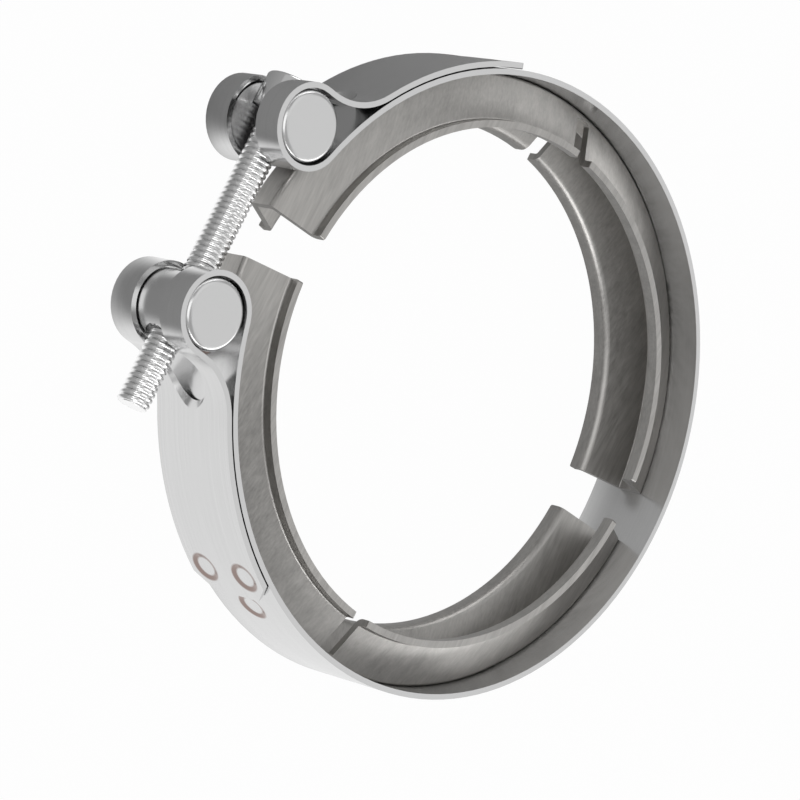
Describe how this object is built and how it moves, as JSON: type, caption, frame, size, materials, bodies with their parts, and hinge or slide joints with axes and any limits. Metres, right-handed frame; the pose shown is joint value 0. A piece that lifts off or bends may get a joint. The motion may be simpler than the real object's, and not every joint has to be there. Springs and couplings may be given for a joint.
{
  "type": "v band clamp",
  "caption": "Steel V band clamp: a sprung strap holds channel retainers round a pipe flange joint and is drawn shut by a socket cap screw between trunnions.",
  "frame": {"origin": "centre of the ring at the middle of the strap's width", "axes": "+Z along the ring's axis, +Y towards the closure gap, +X along the screw towards its head"},
  "size_m": [0.1136, 0.1251, 0.019],
  "materials": {
    "strap_steel": "bright rolled stainless steel with brown-edged spot welds",
    "retainer_steel": "satin brushed stainless steel",
    "polished_steel": "polished stainless steel",
    "screw_steel": "bright zinc-plated steel"
  },
  "bodies": {
    "clamp": {"strap": "strap_steel", "retainer_right": "retainer_steel", "retainer_left": "retainer_steel", "saddle_trunnion": "polished_steel", "tapped_trunnion": "polished_steel"},
    "screw": {"cap_screw": "screw_steel"}
  },
  "joints": [
    {"name": "cap_screw_travel", "type": "slide", "parent": "clamp", "child": "screw", "axis": [1, 0, 0], "range_m": [0, 0.02117]}
  ]
}
